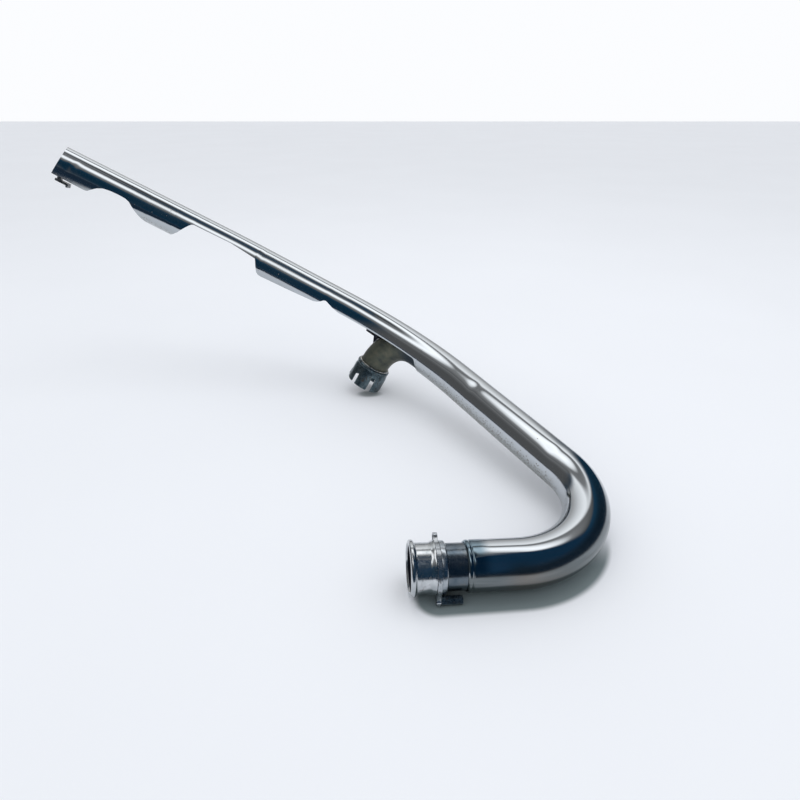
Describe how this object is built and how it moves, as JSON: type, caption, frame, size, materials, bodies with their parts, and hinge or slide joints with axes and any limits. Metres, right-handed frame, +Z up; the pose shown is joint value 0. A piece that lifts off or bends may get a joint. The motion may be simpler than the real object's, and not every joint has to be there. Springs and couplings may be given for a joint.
{
  "type": "motorcycle exhaust header",
  "caption": "Chromed motorcycle exhaust header with a tight first bend, a loose port flange, a slotted outlet collar and an open-bottomed heat shield.",
  "frame": {"origin": "middle of the bounding box at floor level, the header lying as pictured", "axes": "+X toward the first bend and away from the shield's far end, +Y away from the viewer's side, +Z up; the gas enters at the port lip near -Y and the shield's far end is at -X"},
  "size_m": [0.6961, 0.5758, 0.3153],
  "materials": {
    "chrome": "bright chrome plate with pits, faint dents and a thin brown heat tint",
    "pipe_steel": "heat-weathered olive-grey steel",
    "bright_steel": "bright, lightly soiled steel",
    "flange_plate": "worn plated steel",
    "ring_steel": "satin steel with a blue-grey cast",
    "nut_steel": "dull dark steel",
    "collar_steel": "dark, worn steel",
    "hanger_steel": "dark blue-black steel",
    "strap_steel": "dull grey steel with fine ribs"
  },
  "bodies": {
    "root": {"jacket": "chrome", "inner_pipe": "pipe_steel", "port_sleeve": "bright_steel", "port_flange": "flange_plate", "stop_ring": "ring_steel", "ear_nut": "nut_steel", "outlet_collar": "collar_steel", "hanger_plate": "hanger_steel", "rear_strap": "strap_steel"}
  },
  "joints": []
}
